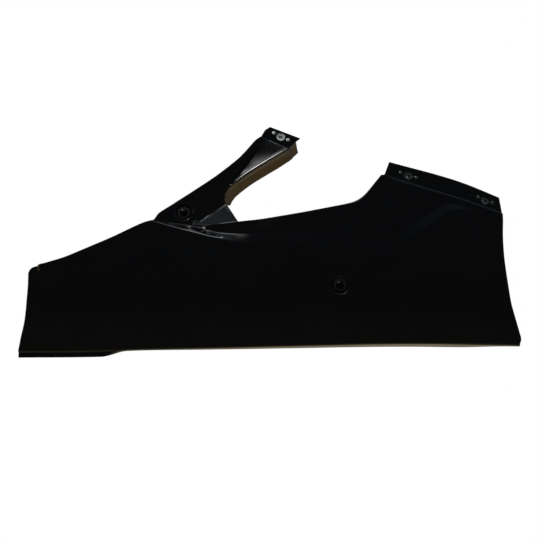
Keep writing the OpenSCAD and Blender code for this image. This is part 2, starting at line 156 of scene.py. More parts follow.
def ease(a, b, v):
    s = min(max((v - a) / (b - a), 0.0), 1.0)
    return s * s * (3 - 2 * s)


def curve(points, t):
    """Smooth curve through [t, value] pairs."""
    k = 0
    while k < len(points) - 2 and t >= points[k + 1][0]:
        k += 1
    values = [np.asarray(p[1], float) for p in points[max(k - 1, 0) : k + 3]]
    at = [p[0] for p in points[max(k - 1, 0) : k + 3]]
    i = min(k, 1)
    h = at[i + 1] - at[i]
    s = min(max((t - at[i]) / h, 0.0), 1.0)
    first, last = max(i - 1, 0), min(i + 2, len(at) - 1)
    slope_0 = (values[i + 1] - values[first]) / (at[i + 1] - at[first])
    slope_1 = (values[last] - values[i]) / (at[last] - at[i])
    return (
        values[i] * (2 * s**3 - 3 * s**2 + 1)
        + slope_0 * h * (s**3 - 2 * s**2 + s)
        + values[i + 1] * (3 * s**2 - 2 * s**3)
        + slope_1 * h * (s**3 - s**2)
    )


# %% Plan and cross-section of the outer face
LIP_WIDTH = 44
RETURN_WIDTH = 46
RAMP_DEPTH = 12.5
FACET_DEPTH = 5
POCKET_DEPTH = 9
GUSSET_SHARE = 0.35
JOGGLE = 4
TAB_HEIGHT = 9
WALL = 3
DIMPLE_DEPTH = 3.5
GROMMET_LIP = 1.5
SLEEVE_LIP = 1.2
SEAT_TOP = DIMPLE_DEPTH - GROMMET_LIP - SLEEVE_LIP
# Each bend: where it starts, where it ends and the slope beyond it
TAIL_BENDS = [(20, 80, 0.08), (126, 195, 0.22)]
NOSE_BEND = (300, 400, 0.10)
BELLY_BEND = (-30, 110, 0.20)
SHOULDER_BEND = (20, 104, 0.08)


def plan(x):
    return sum(bend(x, *tail) for tail in TAIL_BENDS) + bend(-x, *NOSE_BEND)


def section(z):
    return bend(-z, *BELLY_BEND) + bend(z, *SHOULDER_BEND)


def face_y(x, z):
    return plan(x) + section(z) - plan(0) - section(0) - SEAT_TOP


# %% Lines along and across the shell
FRONT_EDGE = [[-110, -490], [-96, -487], [-78, -483.5], [-51, -478], [-15, -475.4],
    [4, -474.6], [22, -475]]
REAR_EDGE = [[-90, 270], [-86, 276.5], [-82, 280.5], [-76, 282.6], [-64, 279.5], [-37, 271.6],
    [-19, 267], [9, 263.2], [28, 261], [56, 259], [86, 259.2], [121, 261.5], [150, 259]]
ARCH_LINE = [[-475, 20], [-473.4, 27], [-468, 31], [-445, 37.2], [-420, 44.5], [-396, 54],
    [-347, 75], [-311, 92.8], [-299, 98.2], [-290, 101]]
LEDGE_LINE = [[-290, 101], [-259, 91], [-228, 81.5], [-197, 73.5], [-152, 64], [-127, 61],
    [-72, 62], [-30, 57.5], [31, 47.6], [60, 44], [78, 47], [92, 54.6], [118, 76], [144, 98],
    [162, 113], [185, 123], [224, 117], [263, 106]]
SHOULDER_LINE = [[-287, 102.2], [-255, 99.5], [-223, 95], [-213, 92.5], [-198, 87.5],
    [-183, 83.5], [-152, 82], [-112, 86.5], [-29, 84.3], [32, 78], [58, 76.5], [76, 79],
    [94, 86], [120, 102], [148, 121], [165, 131], [185, 132.5], [224, 125], [263, 114]]
BOTTOM_LINE = [[-490, -97], [-361, -97.3], [-316, -94], [-211, -91.6], [-61, -87.9],
    [90, -84.5], [182, -83.6], [264, -82], [284, -82]]
ROOT_LINE = [[-284, 104], [-250, 102.3], [-224, 97.5], [-200, 96.5], [-155, 100]]
VENT_LINE = [[-155, 100], [-121, 104.6], [-90, 109.9], [-60, 115.3], [-32, 120.8], [-7, 125.9],
    [10, 129.4], [24, 133.4], [34, 139], [43, 147], [56, 163], [67.5, 177.4]]
PARTING_STEP = [[67.5, 177.4], [110, 165], [138, 156], [170, 147], [224, 132.6], [263, 121.8]]
FLANGE_TOP = [[81.4, 200.5], [108, 193.6], [159, 180.5], [210, 166.4], [258, 150.4]]
RAMP = [[-287, 0.25], [-275, 0.6], [-265, 0.88], [-255, 0.98], [-235, 1], [-214, 1],
    [-200, 0.86], [-183, 0.54], [-165, 0.34], [-148, 0.28], [-112, 0.26], [-60, 0.27], [0, 0.28],
    [130, 0.28], [165, 0.2], [200, 0.05], [218, 0], [264, 0]]
STRUT_LEFT = [[0, [-284, 104]], [1, [-281.5, 108]], [2, [-277, 115.3]], [4, [-256, 132]],
    [6, [-222, 155.5]], [8, [-187, 179.5]], [10, [-157, 203.5]], [11, [-146, 215]],
    [12, [-137, 226]], [13, [-129, 235.5]], [14, [-121.8, 241]]]
STRUT_RIGHT = [[0, [-155, 100]], [1, [-173, 130.5]], [2, [-176, 136]], [3, [-177, 141]],
    [4, [-175.8, 147]], [5, [-172, 154]], [6, [-165, 162]], [8, [-142, 180]], [10, [-117, 196.5]],
    [12, [-90.5, 213]], [14, [-77.8, 220]]]
GUSSET_LINE = [[0, [-281.5, 108]], [0.30, [-243, 103.5]], [0.45, [-223, 99.5]],
    [0.7, [-200, 111.5]], [1, [-173, 130.5]]]
HEAD_FLANGE = [[[-121.8, 241], [-77.8, 220]], [[-119.6, 244], [-75.5, 224.3]],
    [[-118.6, 246.2], [-74.1, 226.3]], [[-114, 254.5], [-65.5, 234.8]],
    [[-106, 260], [-58.6, 240.4]]]
HEAD_FLANGE_DEPTH = 9
STRUT_HEAD_DEPTH = 4
# The strut's stations run from 0 at its root to this one at its head flange
STRUT_END = 14


def front_x(z):
    return float(curve(FRONT_EDGE, z))


def rear_x(z):
    return float(curve(REAR_EDGE, z))


def share(x, z):
    """How far along the shell a point lies, 0 at the front edge and 1 at the rear edge."""
    return (x - front_x(z)) / (rear_x(z) - front_x(z))


def on_line(line, u):
    """The point [x, z] of a line at column share u, found by repeated substitution."""
    x = mix(front_x(0), rear_x(0), u)
    for _ in range(7):
        z = float(curve(line, x))
        x = mix(front_x(z), rear_x(z), u)
    return np.array([x, float(curve(line, x))])


U_ROOT = share(*ARCH_LINE[-1])
U_VENT = share(*VENT_LINE[0])
U_CORNER = share(*VENT_LINE[-1])
U_FADE = share(-210, 90)

# %% [markdown]
# ## Rows and columns of the sheet
# A grid primitive is the start of the shell. Its columns run from the wheel
# arch end to the rear, and its rows from the rolled lip at the bottom to the
# top of the strut. Where a form has a tight edge, such as the ledge, the rows
# lie close together, and on the wide lower face they lie 3 to 4 mm apart.

# %% Row and column lists
def steps(a, b, n):
    return [mix(a, b, k / n) for k in range(n)]


FRONT_BAND = 0.02
FRONT_COLUMNS = [0, 0.0015, 0.0035, 0.006, 0.009, 0.014] + steps(FRONT_BAND, U_ROOT, 56)
STRUT_COLUMNS = steps(U_ROOT, U_VENT, 48)
VENT_COLUMNS = steps(U_VENT, U_CORNER, 74)
REAR_COLUMNS = steps(U_CORNER, 0.985, 62) + [0.985, 0.989, 0.993, 0.9965, 1]
COLUMNS = FRONT_COLUMNS + STRUT_COLUMNS + VENT_COLUMNS + REAR_COLUMNS
C_ROOT = len(FRONT_COLUMNS)
C_VENT = C_ROOT + len(STRUT_COLUMNS)
C_CORNER = C_VENT + len(VENT_COLUMNS)
LAST_COLUMN = len(COLUMNS) - 1

LIP_ROWS = [4, 3.7, 3.4, 3.1, 2.8, 2.5, 2.25, 2, 1.8, 1.6, 1.4, 1.2, 1, 0.8, 0.6, 0.4, 0.2]
FACE_ROWS = steps(0, 0.96, 52) + [0.96, 0.972, 0.982, 0.99, 0.996, 1]
LEDGE_ROWS = [0.03, 0.06, 0.1, 0.14, 0.19, 0.24, 0.3, 0.38, 0.48, 0.58, 0.68, 0.77, 0.86, 0.93,
    0.97, 1]
RAMP_ROWS = [0.06, 0.15, 0.27, 0.4, 0.55, 0.7, 0.82, 0.92, 1]
FOOT_ROWS = [0.04, 0.12, 0.25, 0.4, 0.55, 0.7, 0.82, 0.92, 0.98]
STRUT_ROWS = [1, 1.03, 1.06, 1.1, 1.14, 1.19, 1.25, 1.32, 1.4]
STRUT_ROWS += steps(1.5, STRUT_END, 90) + [STRUT_END]
HEAD_ROWS = [0.15, 0.3, 0.45, 0.6, 0.75, 0.9, 1, 1.5, 2, 2.25, 2.5, 2.75, 3, 3.25, 3.5, 3.75, 4]
FLANGE_ROWS = [0.012, 0.024, 0.037, 0.05, 0.063, 0.076, 0.09, 0.12, 0.155, 0.25, 0.35, 0.45,
    0.55, 0.65, 0.75, 0.85, 0.93, 1]
HEAD_RETURN_ROWS = HEAD_ROWS.index(3) + 1
J_FACE = len(LIP_ROWS)
J_LEDGE = J_FACE + len(FACE_ROWS) - 1
J_SHOULDER = J_LEDGE + len(LEDGE_ROWS)
J_TOP = J_SHOULDER + len(RAMP_ROWS)
J_STRUT = J_TOP + len(FOOT_ROWS) + 1
J_HEAD = J_STRUT + len(STRUT_ROWS) - 1
LAST_ROW = J_HEAD + len(HEAD_ROWS)
print("sheet", LAST_COLUMN, "by", LAST_ROW, "squares")


# %% Depth of each form inboard of the face
VENT_SINK = 2.5
STRUT_START, STRUT_WAY = (-240, 117.5), (0.75, 0.66)


def ramp_y(x):
    return RAMP_DEPTH * float(curve(RAMP, x))


def slope_share(f, near, far):
    """Depth share up the slope over the ledge: straight between a fillet at each end."""
    rise = f * f / (2 * near) if f < near else f - near / 2
    rise -= (f - 1 + far) ** 2 / (2 * far) if f > 1 - far else 0
    return rise / (1 - near / 2 - far / 2)


def top_at(u):
    """Where the slope over the ledge ends: at the strut's root, the vent or the rear flange."""
    if u <= U_VENT:
        x = mix(ROOT_LINE[0][0], ROOT_LINE[-1][0], (u - U_ROOT) / (U_VENT - U_ROOT))
        return np.array([x, float(curve(ROOT_LINE, x))])
    return on_line(VENT_LINE if u <= U_CORNER else PARTING_STEP, u)


def top_depth(u, x):
    sink = VENT_SINK * ease(U_VENT, U_VENT + 0.05, u) * (1 - ease(U_CORNER - 0.08, U_CORNER, u))
    return ramp_y(x) + (sink if U_VENT < u < U_CORNER else 0)


def travel(x, z, start, way):
    """How far a point lies from start in the direction way."""
    return (x - start[0]) * way[0] + (z - start[1]) * way[1]


def strut_base(x, z):
    """Depth of the strut's flat: level at its foot, then rising to the head's flange."""
    along = travel(x, z, STRUT_START, STRUT_WAY)
    return mix(RAMP_DEPTH, STRUT_HEAD_DEPTH, ease(25, 140, along)) * ease(-300, -256, x)


# %% Swelling and pocket at the strut's foot
KNUCKLE_CENTRE, KNUCKLE_REACH = (-208, 88.5), (7, 6.5)
KNUCKLE_HEIGHT = 1.1
POCKET_START = (-223, 96.5)
POCKET_WAY, POCKET_SIDE = (0.825, 0.565), (-0.565, 0.825)
POCKET_EDGE = [[-10, 12], [2, 14.5], [11, 19], [25, 23.5], [40, 24.5], [70, 27]]
BROW_CURVE, BROW_WIDTH = 0.13, 1.6
RIDGE_HEIGHT = 0.35


def knuckle(x, z):
    """A small soft swelling where the second slope starts, under the pocket's foot."""
    reach = math.hypot((x - KNUCKLE_CENTRE[0]) / KNUCKLE_REACH[0],
        (z - KNUCKLE_CENTRE[1]) / KNUCKLE_REACH[1])
    return -KNUCKLE_HEIGHT * max(1 - reach ** 2, 0) ** 2


def pocket(x, z):
    """The dark pocket: it falls from the gusset's rounded brow and ends in a faint ridge."""
    along = travel(x, z, POCKET_START, POCKET_WAY)
    away = travel(x, z, POCKET_START, POCKET_SIDE)
    reach = max(away / float(curve(POCKET_EDGE, along)), 0)
    brow = BROW_CURVE * min(max(away, 0), BROW_WIDTH) ** 2
    drop = mix(GUSSET_SHARE, 1, ease(1.2, 3.7, away))
    ridge = RIDGE_HEIGHT * ease(0.88, 1.0, reach) * (1 - ease(1.0, 1.14, reach))
    span = ease(-3, 12, along) * (1 - ease(72, 105, along))
    return (POCKET_DEPTH * drop * (1 - ease(0.1, 1.0, reach)) + brow - ridge) * span


# %% Facet at the strut's head
CREASE_ACROSS = [[6, 0.9], [8, 0.72], [10, 0.42], [12, 0.23], [14, 0.1]]
CREASE_START = 6
CREASE_COLUMN = 4 / 14
STRUT_WIDTH = [[6, 25], [8, 25.3], [10, 28.5], [12, 38], [14, 40]]
RIM = 0.97
ROLL_WIDTH, ROLL_SLOPE = 4, 0.62


def crease_at(t):
    """Share of the strut's width at which the facet's crease lies."""
    return mix(CREASE_COLUMN, float(curve(CREASE_ACROSS, max(t, CREASE_START))),
        ease(1.5, CREASE_START, t))


def spread(t, k):
    """Place across the strut of column share k. Columns close up towards the vent's edge."""
    c = crease_at(t)
    if k < CREASE_COLUMN:
        return mix(0, c, k / CREASE_COLUMN)
    v = (k - CREASE_COLUMN) / (1 - CREASE_COLUMN)
    return mix(c, 1, mix(v, 1 - (1 - v) ** 1.6, ease(1, 3, t)))


def facet(t, s):
    """The scooped facet beside the crease. Its depth rolls off evenly at the vent's edge."""
    if t <= CREASE_START:
        return 0.0
    a = max((s - crease_at(t)) / (1 - crease_at(t)), 0)
    size = ((t - CREASE_START) / (STRUT_END - CREASE_START)) ** 0.4
    width = (1 - crease_at(t)) * float(curve(STRUT_WIDTH, t))
    roll = min(ROLL_WIDTH, 0.4 * width)
    to_rim = min(max((RIM - a) * width / roll, 0), 1)
    lift = ROLL_SLOPE * roll / 2 * (1 - (1 - to_rim) ** 2)
    plain = (FACET_DEPTH * size - ROLL_SLOPE * roll / 2) * max(1 - a / RIM, 0)
    return ease(0, 0.09, a) * (plain + lift)


# %% [markdown]
# ## Where each point of the sheet goes
# Every row kind has its own rule. The bottom row rolls under into a lip that
# turns into a plain tab at the front. The rows of the face are straight
# between the bottom and the ledge. The strut's rows run between its two edges,
# and at its foot they bend to the upper edge of the gusset.


# %% Rules for the rows
def face_point(x, z, depth=0.0):
    return (x, face_y(x, z) + depth, z)


LIP_SHARE = [[-490, 0.36], [-316, 0.40], [-150, 0.72], [0, 0.9], [120, 1], [190, 0.95],
    [250, 0.55], [284, 0.3]]
ROLL = 4
TAB_END, LIP_START = -358, -322
WAIST = 18


def lip_point(u, bottom, q):
    """q is 0 at the face, 2 where the roll is done and 4 at the lip's end."""
    x, z = bottom
    width = LIP_WIDTH * float(curve(LIP_SHARE, x))
    if q < 2:
        turn = q / 2 * math.pi / 2
        lip = np.array([(ROLL + 1) * (1 - math.cos(turn)), -ROLL * math.sin(turn)])
    else:
        out = (q - 2) / 2
        lip = np.array([mix(ROLL + 1, width, out), -ROLL - 0.4 * out + 1.9 * out**2])
    v = q / 4
    tab = np.array([3.3 * ease(0, 0.34, v) + 0.3 * v, -(TAB_HEIGHT + 1) * v])
    y, drop = mix(lip, tab, 1 - ease(TAB_END, LIP_START, x))
    return (x, face_y(x, z) + y, z + drop)


def face_row(u, bottom, ledge, f):
    """Half of the face's rows lie below its waist, and half above it."""
    waist = min(WAIST, ledge[1] - 12)
    z = mix(bottom[1], waist, f * 2) if f < 0.5 else mix(waist, ledge[1], f * 2 - 1)
    x = mix(front_x(z), rear_x(z), u)
    if u < FRONT_BAND:
        x += mix(0, ledge[0] - front_x(ledge[1]), f**3)
    return face_point(x, z)


def strut_flat(t, s):
    return mix(curve(STRUT_LEFT, t), curve(STRUT_RIGHT, t), s)


FOOT_STATIONS = 6


def strut_xz(t, s):
    """Station t of the strut at place s across it. The first stations bend to the gusset's edge."""
    foot = curve(GUSSET_LINE, s) - strut_flat(1, s)
    return strut_flat(t, s) + foot * max(0, 1 - (t - 1) / FOOT_STATIONS) ** 2


def strut_point(t, s):
    x, z = strut_xz(t, s)
    return face_point(x, z, strut_base(x, z) + facet(t, s) + pocket(x, z))


def foot_point(top, depth, k, f):
    """Between the end of the slope and the gusset's edge, in a straight line."""
    upper = np.array(strut_point(1, spread(1, k)))
    lower = np.array(face_point(top[0], top[1], depth))
    return tuple(mix(lower, upper, f))


def head_point(k, q):
    """The flange at the strut's head: q is 0 at the step and 4 at the top."""
    i = min(int(q), 3)
    s = spread(STRUT_END, k)
    left, right = mix(np.array(HEAD_FLANGE[i]), np.array(HEAD_FLANGE[i + 1]), q - i)
    x, z = mix(left, right, s)
    edge = strut_base(x, z) + facet(STRUT_END, s)
    return face_point(x, z, mix(edge, HEAD_FLANGE_DEPTH, ease(0.2, 0.8, q)))


RETURN_OUT = [[0, 0], [1, 0.5], [2, 1.8], [3, 4], [4, 7.5]]
RETURN_IN = [[0, 0], [1, 0.035], [2, 0.14], [3, 0.55], [4, 1]]
RETURN_COLUMNS = [0.35, 0.7, 1, 1.3, 1.6, 2, 2.25, 2.5, 2.75, 3, 3.25, 3.5, 3.75, 4]
HEAD_RETURN_SHARE = 0.85


def turned_in(edge, ahead, width, flare, q):
    """A point of the return wall: it leaves the edge inboard and flares outwards."""
    ahead = ahead / np.linalg.norm(ahead)
    out = flare * float(curve(RETURN_OUT, q))
    inboard = width * float(curve(RETURN_IN, q))
    return tuple(np.array(edge) + np.array([ahead[1] * out, inboard, -ahead[0] * out]))


def return_point(t, q):
    """The return wall beside the strut: q is 0 at the strut's edge and 4 at the wall's end."""
    ahead = curve(STRUT_RIGHT, min(t + 0.5, STRUT_END)) - curve(STRUT_RIGHT, max(t - 0.5, 1))
    width = RETURN_WIDTH * ease(0.2, 4, t) * mix(1, HEAD_RETURN_SHARE, ease(11, STRUT_END, t))
    return turned_in(strut_point(t, 1), ahead, width, ease(0, 4, t), q)


def head_return_point(along, q):
    """The return wall goes on beside the head's flange, up to its third row."""
    ends = [np.array(row[1]) for row in HEAD_FLANGE]
    runs = [[0, curve(STRUT_RIGHT, STRUT_END) - curve(STRUT_RIGHT, STRUT_END - 0.5)]]
    runs += [[k, ends[k + 1] - ends[k - 1]] for k in (1, 2, 3)]
    runs = [[k, run / np.linalg.norm(run)] for k, run in runs]
    width = RETURN_WIDTH * HEAD_RETURN_SHARE
    return turned_in(head_point(1, along), curve(runs, along), width, 1, q)


REAR_RAMP_SHARE, REAR_RAMP_ENDS = 0.28, (130, 212)
FLANGE_INSET = 5


def rear_flange_depth(x):
    return JOGGLE + RAMP_DEPTH * REAR_RAMP_SHARE * (1 - ease(*REAR_RAMP_ENDS, x))


def flange_point(u, top, f):
    """A point of the rear flange: f is 0 at the parting step and 1 at the flange's top."""
    s = (u - U_CORNER) / (1 - U_CORNER)
    x_top = mix(FLANGE_TOP[0][0], FLANGE_TOP[-1][0], s)
    outer = np.array([x_top, float(curve(FLANGE_TOP, x_top))])
    inset = FLANGE_INSET * (1 - ease(0, 0.12, s)) * (1 - f)
    x, z = mix(top, outer, f) + np.array([inset, 0])
    depth = mix(ramp_y(top[0]), rear_flange_depth(x), ease(0, 0.09, f))
    return face_point(x, z, depth)


# %% All points of the sheet
SHOULDER_LEAN = 3
# Shares of the slope over the ledge that its two fillets take up, in front and behind. Near
# the strut's root the upper one is almost sharp
LEDGE_FILLET, SHOULDER_FILLET, SHARP_FILLET = (0.28, 0.12), (0.34, 0.12), 0.03
FILLET_CHANGE, SHARP_ENDS = (-190, -150), (-222, -192)


def column_points(i):
    """The points of one column, by row."""
    u = COLUMNS[i]
    bottom = on_line(BOTTOM_LINE, u)
    ledge = on_line(ARCH_LINE if u <= U_ROOT else LEDGE_LINE, u)
    points = {j: lip_point(u, bottom, q) for j, q in enumerate(LIP_ROWS)}
    for k, f in enumerate(FACE_ROWS):
        points[J_FACE + k] = face_row(u, bottom, ledge, f)
    if i < C_ROOT:
        return points
    lean = SHOULDER_LEAN * (1 - ease(U_ROOT, U_FADE, u))
    shoulder = on_line(SHOULDER_LINE, u) + np.array([lean, 0])
    top = top_at(u)
    shoulder_y, top_y = ramp_y(shoulder[0]), top_depth(u, top[0])
    change = ease(*FILLET_CHANGE, ledge[0])
    near = mix(*LEDGE_FILLET, change)
    far = mix(SHARP_FILLET, mix(*SHOULDER_FILLET, change), ease(*SHARP_ENDS, ledge[0]))
    for k, f in enumerate(LEDGE_ROWS):
        x, z = mix(ledge, shoulder, f)
        depth = shoulder_y * slope_share(f, near, far) + knuckle(x, z)
        points[J_LEDGE + 1 + k] = face_point(x, z, depth)
    for k, f in enumerate(RAMP_ROWS):
        x, z = mix(shoulder, top, f)
        points[J_SHOULDER + 1 + k] = face_point(x, z, mix(shoulder_y, top_y, f) + knuckle(x, z))
    if i <= C_VENT:
        s = (i - C_ROOT) / (C_VENT - C_ROOT)
        for k, f in enumerate(FOOT_ROWS):
            points[J_TOP + 1 + k] = foot_point(top, top_y, s, f)
        for k, t in enumerate(STRUT_ROWS):
            points[J_STRUT + k] = strut_point(t, spread(t, s))
        for k, q in enumerate(HEAD_ROWS):
            points[J_HEAD + 1 + k] = head_point(s, q)
    elif i <= C_VENT + len(RETURN_COLUMNS):
        q = RETURN_COLUMNS[i - C_VENT - 1]
        for k, t in enumerate(STRUT_ROWS):
            points[J_STRUT + k] = return_point(t, q)
        for k, along in enumerate(HEAD_ROWS[:HEAD_RETURN_ROWS]):
            points[J_HEAD + 1 + k] = head_return_point(along, q)
    elif i >= C_CORNER:
        for k, f in enumerate(FLANGE_ROWS):
            points[J_TOP + 1 + k] = flange_point(u, top, f)
    return points


sheet_points = [column_points(i) for i in range(len(COLUMNS))]


# %% Cut the grid to the shell's outline and move its points
def square_is_there(i, j):
    """Whether the square right of column i and above row j belongs to the shell."""
    if j < J_LEDGE:
        return True
    if j < J_TOP:
        return i >= C_ROOT
    if C_ROOT <= i < C_VENT:
        return j < LAST_ROW
    if C_VENT <= i < C_VENT + len(RETURN_COLUMNS):
        return J_STRUT <= j < J_HEAD + HEAD_RETURN_ROWS
    return i >= C_CORNER and j < J_TOP + len(FLANGE_ROWS)


bpy.ops.mesh.primitive_grid_add(x_subdivisions=LAST_COLUMN, y_subdivisions=LAST_ROW, size=2)
shell = bpy.context.active_object
shell.name = "lacquered_shell"


def grid_place(co):
    """Column and row of a point of the fresh grid."""
    return (co.x + 1) / 2 * LAST_COLUMN, (co.y + 1) / 2 * LAST_ROW


def outside_outline(face):
    i, j = grid_place(face.center)
    return not square_is_there(int(i), int(j))


select_faces(shell, outside_outline)
bpy.ops.mesh.delete(type="FACE")
bpy.ops.object.mode_set(mode="OBJECT")
for vertex in shell.data.vertices:
    i, j = (round(v) for v in grid_place(vertex.co))
    vertex.co = Vector(sheet_points[i][j]) * MM
shell.data.update()
report(shell)

# %% [markdown]
# ## Screw dimples
# Two round dimples sink the screw heads below the face. Pressing them into the
# sheet takes finer squares there, so those around each centre are subdivided
# first, and then each point goes back by a depth that depends only on its
# distance from the centre. That keeps both rims truly round.

# %% Press the dimples
SIDE_SEAT = (0.0, 0.0)
ROOT_SEAT = (-239.9, 117.5)
SIDE_DIMPLE, ROOT_DIMPLE = 30, 26
GROMMET_DIAMETER = 20
SEAT_BORE = 15
RIM_FILLET = 0.35


def dimple_depth(diameter, r):
    """Depth of a dimple at radius r: a conical side between two small fillets."""
    floor = (GROMMET_DIAMETER + 1.5) / 2
    outer = (diameter + 2) / 2
    rim = outer - (outer - floor) / (DIMPLE_DEPTH + 1)
    depth = DIMPLE_DEPTH * (rim - r) / (rim - floor)
    if abs(rim - r) < RIM_FILLET:
        depth = DIMPLE_DEPTH / (rim - floor) * (rim - r + RIM_FILLET) ** 2 / (4 * RIM_FILLET)
    return min(max(depth, 0), DIMPLE_DEPTH)


def from_seat(co, centre):
    """Distance of a point or a face's centre from a seat, seen square on."""
    return math.hypot(co.x / MM - centre[0], co.z / MM - centre[1])


def press_dimple(centre, diameter, refined, pressed, depth_below):
    """Cuts squares up to `refined` past the dimple's rim, and presses points up to `pressed`."""
    select_faces(shell, lambda face: from_seat(face.center, centre) < diameter / 2 + refined)
    bpy.ops.mesh.subdivide(number_cuts=3)
    bpy.ops.object.mode_set(mode="OBJECT")
    for v in shell.data.vertices:
        x, z, r = v.co.x / MM, v.co.z / MM, from_seat(v.co, centre)
        if r < diameter / 2 + pressed:
            v.co.y = (face_y(x, z) + depth_below(x, z) + dimple_depth(diameter, r)) * MM
    report(shell)


press_dimple(SIDE_SEAT, SIDE_DIMPLE, 4, 6, lambda x, z: 0.0)
# The seat at the strut's root lies close to the gusset, whose own points stay
press_dimple(ROOT_SEAT, ROOT_DIMPLE, 3, 1, lambda x, z: strut_base(x, z) + pocket(x, z))

# %% [markdown]
# ## Wall thickness
# The moulding is 3 mm thick, and all of it lies inboard of the lacquered face.
# Solidify gives the sheet that wall. The outer face and the rim are lacquered.
# The inner side is bare moulding and gets the second material slot. The strut's
# return wall past its corner gets the same slot, whose brown there is a painted
# warm reflection and shade.

# %% Give the sheet its wall
# Return-wall faces more than 19 mm inboard get the brown slot: painted warm reflection and shade.
RETURN_ABOVE, RETURN_BEFORE, PAINTED_REFLECTION_FROM = 118, -50, 19


def on_painted_reflection_wall(face):
    """Whether a face lies on the return wall past a set depth inboard, where its brown is painted
    reflection and shade.
    """
    x, y, z = face.center / MM
    on_return = z > RETURN_ABOVE and x < RETURN_BEFORE and abs(face.normal.y) < 0.6
    return on_return and y > face_y(x, z) + PAINTED_REFLECTION_FROM


shell.data.materials.clear()
for slot_name in ("lacquer", "bare_and_painted_reflection"):
    shell.data.materials.append(bpy.data.materials.new(slot_name))
for face in shell.data.polygons:
    face.material_index = 1 if on_painted_reflection_wall(face) else 0
apply_modifier(shell, "SOLIDIFY", thickness=WALL * MM, offset=-1, use_even_offset=False,
    use_quality_normals=True, material_offset=1, material_offset_rim=0)
report(shell)

# %% [markdown]
# ## Frames for the fasteners
# Each fastener stands square to the sheet. Its frame has local Z pointing
# inboard along the sheet's normal and local X along its row of rivets, so a
# fastener is modelled once at the origin and then set into each frame.

# %% Fastener frames
def slope_of(line, v):
    return (line(v + 1) - line(v - 1)) / 2


def seat_frame(x, z, depth, turn=0.0):
    """The matrix of a place on the outer face, in metres."""
    n = Vector((-slope_of(plan, x), 1, -slope_of(section, z))).normalized()
    u = -Vector((0, 0, 1)).cross(n).normalized()
    v = n.cross(u)
    place = Vector((x, face_y(x, z) + depth, z)) * MM
    basis = Matrix((u, v, n)).transposed().to_4x4()
    return Matrix.Translation(place) @ basis @ Matrix.Rotation(math.radians(turn), 4, "Z")


STUDS = {
    "strut": seat_frame(-88.9, 243.6, HEAD_FLANGE_DEPTH, 28),
    "front": seat_frame(110.8, 179, rear_flange_depth(110.8), 18),
    "rear": seat_frame(234, 144.3, rear_flange_depth(234), 17),
}
INBOARD = Matrix.Rotation(math.radians(-90), 4, "X")
SEATS = {
    "side": Matrix.Translation((0, -SEAT_TOP * MM, 0)) @ INBOARD,
    "root": seat_frame(*ROOT_SEAT, strut_base(*ROOT_SEAT)),
}


def set_into(obj, frame_matrix):
    """Moves a piece modelled at the origin into a frame, and puts its place in its mesh."""
    obj.matrix_world = frame_matrix
    only(obj)
    return settle()


def round_bar(name, diameter, low, high, sides=64, centre=(0, 0)):
    """A cylinder along Z between two heights, in millimetres."""
    bpy.ops.mesh.primitive_cylinder_add(vertices=sides, radius=diameter / 2 * MM,
        depth=(high - low) * MM, location=(centre[0] * MM, centre[1] * MM, (low + high) / 2 * MM))
    bar = settle()
    bar.name = name
    return bar


def join(objects, name):
    bpy.ops.object.select_all(action="DESELECT")
    for obj in objects:
        obj.select_set(True)
    bpy.context.view_layer.objects.active = objects[0]
    bpy.ops.object.join()
    objects[0].name = name
    return objects[0]


def drill(obj, cutter):
    """Takes the cutter's volume out of a piece, and deletes the cutter."""
    apply_modifier(obj, "BOOLEAN", operation="DIFFERENCE", object=cutter, solver="EXACT")
    bpy.data.objects.remove(cutter)


# %% Drill the shell
STUD_HOLE = 14.4
RIVET_PITCH = 25.4
RIVET_DIAMETER = 3.2
RIVET_HOLE = RIVET_DIAMETER + 0.1
RIVET_PLACES = [(-RIVET_PITCH / 2, 0), (RIVET_PITCH / 2, 0)]
bits = []
for frame_matrix in STUDS.values():
    hole = [round_bar("bit", STUD_HOLE, -6, 12)]
    hole += [round_bar("bit", RIVET_HOLE, -6, 12, 24, place) for place in RIVET_PLACES]
    bits.append(set_into(join(hole, "bits"), frame_matrix))
for frame_matrix in SEATS.values():
    bits.append(set_into(round_bar("bit", SEAT_BORE, -2, 16), frame_matrix))
drill(shell, join(bits, "bits"))
report(shell)

# %% Round the rim and smooth the faces
soften(shell, 0.45, 2, 62)
smooth(shell, 34)
report(shell)

# %% [markdown]
# ## Quarter-turn receptacles
# Behind each flange sits a pressed steel receptacle: a lozenge plate with two
# rivet lugs, a hole with two notches for the stud's cross pin, and a round cup
# that carries a cross spring. The plate is the hull of a disc and two lugs.
# The cup is joined to it, and then the hollow, the slot and the holes are cut.

# %% Receptacle
PLATE_Z = WALL + 0.1
PLATE_T = 1.2
PLATE_BACK = PLATE_Z + PLATE_T
CUP_D, CUP_T, CUP_H = 16, 1.1, 8
LUG_R = 4.8
STUD_D, SLOT_W, SLOT_L = 5.6, 1.8, 9
WIRE_D = 1.8
WIRE_Z = PLATE_BACK + 2.6
CROSSWISE = Matrix.Translation((0, 0, WIRE_Z * MM)) @ Matrix.Rotation(math.pi / 2, 4, "X")


